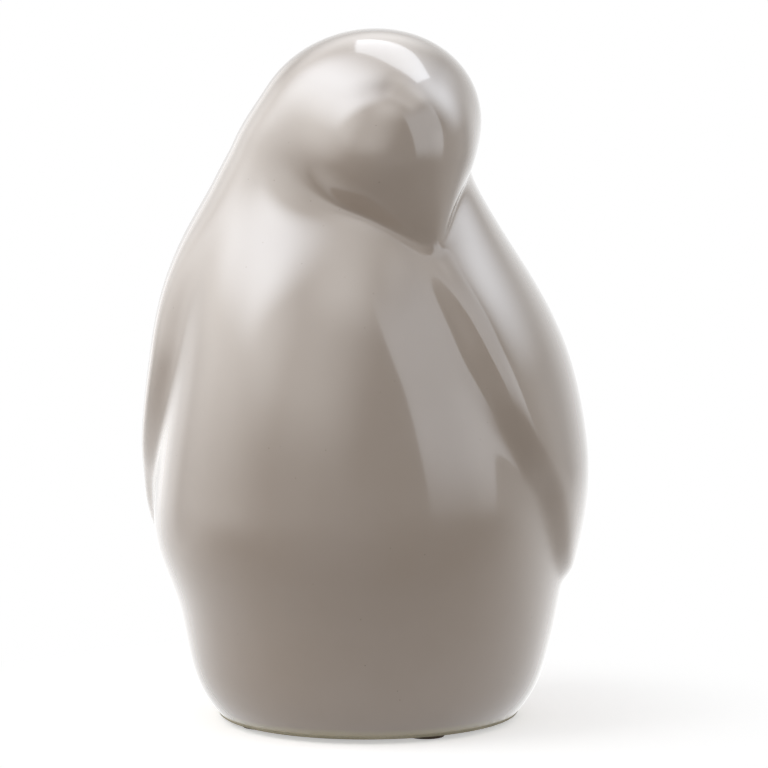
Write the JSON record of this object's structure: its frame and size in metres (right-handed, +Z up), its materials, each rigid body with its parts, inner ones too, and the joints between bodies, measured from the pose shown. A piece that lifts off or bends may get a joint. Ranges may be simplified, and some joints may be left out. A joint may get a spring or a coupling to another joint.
{
  "type": "bird figurine",
  "caption": "Resting bird ornament in hollow glazed ceramic: egg-shaped body, folded wings, head bowed to one side with the beak on the breast, felt pads under the foot.",
  "frame": {"origin": "on the table under the middle of the figurine, at the underside of its felt pads", "axes": "+Z up through the head; the breast faces -Y; +X is the bird's left side, towards which the head is turned"},
  "size_m": [0.0982, 0.0936, 0.1503],
  "materials": {
    "glaze": "glossy warm grey-taupe glaze with sparse fine specks, thinning to cream at the foot",
    "felt": "dense brown wool felt"
  },
  "bodies": {
    "root": {"ceramic_body": "glaze", "felt_pad_front_left": "felt", "felt_pad_front_right": "felt", "felt_pad_rear_left": "felt", "felt_pad_rear_right": "felt"}
  },
  "joints": []
}
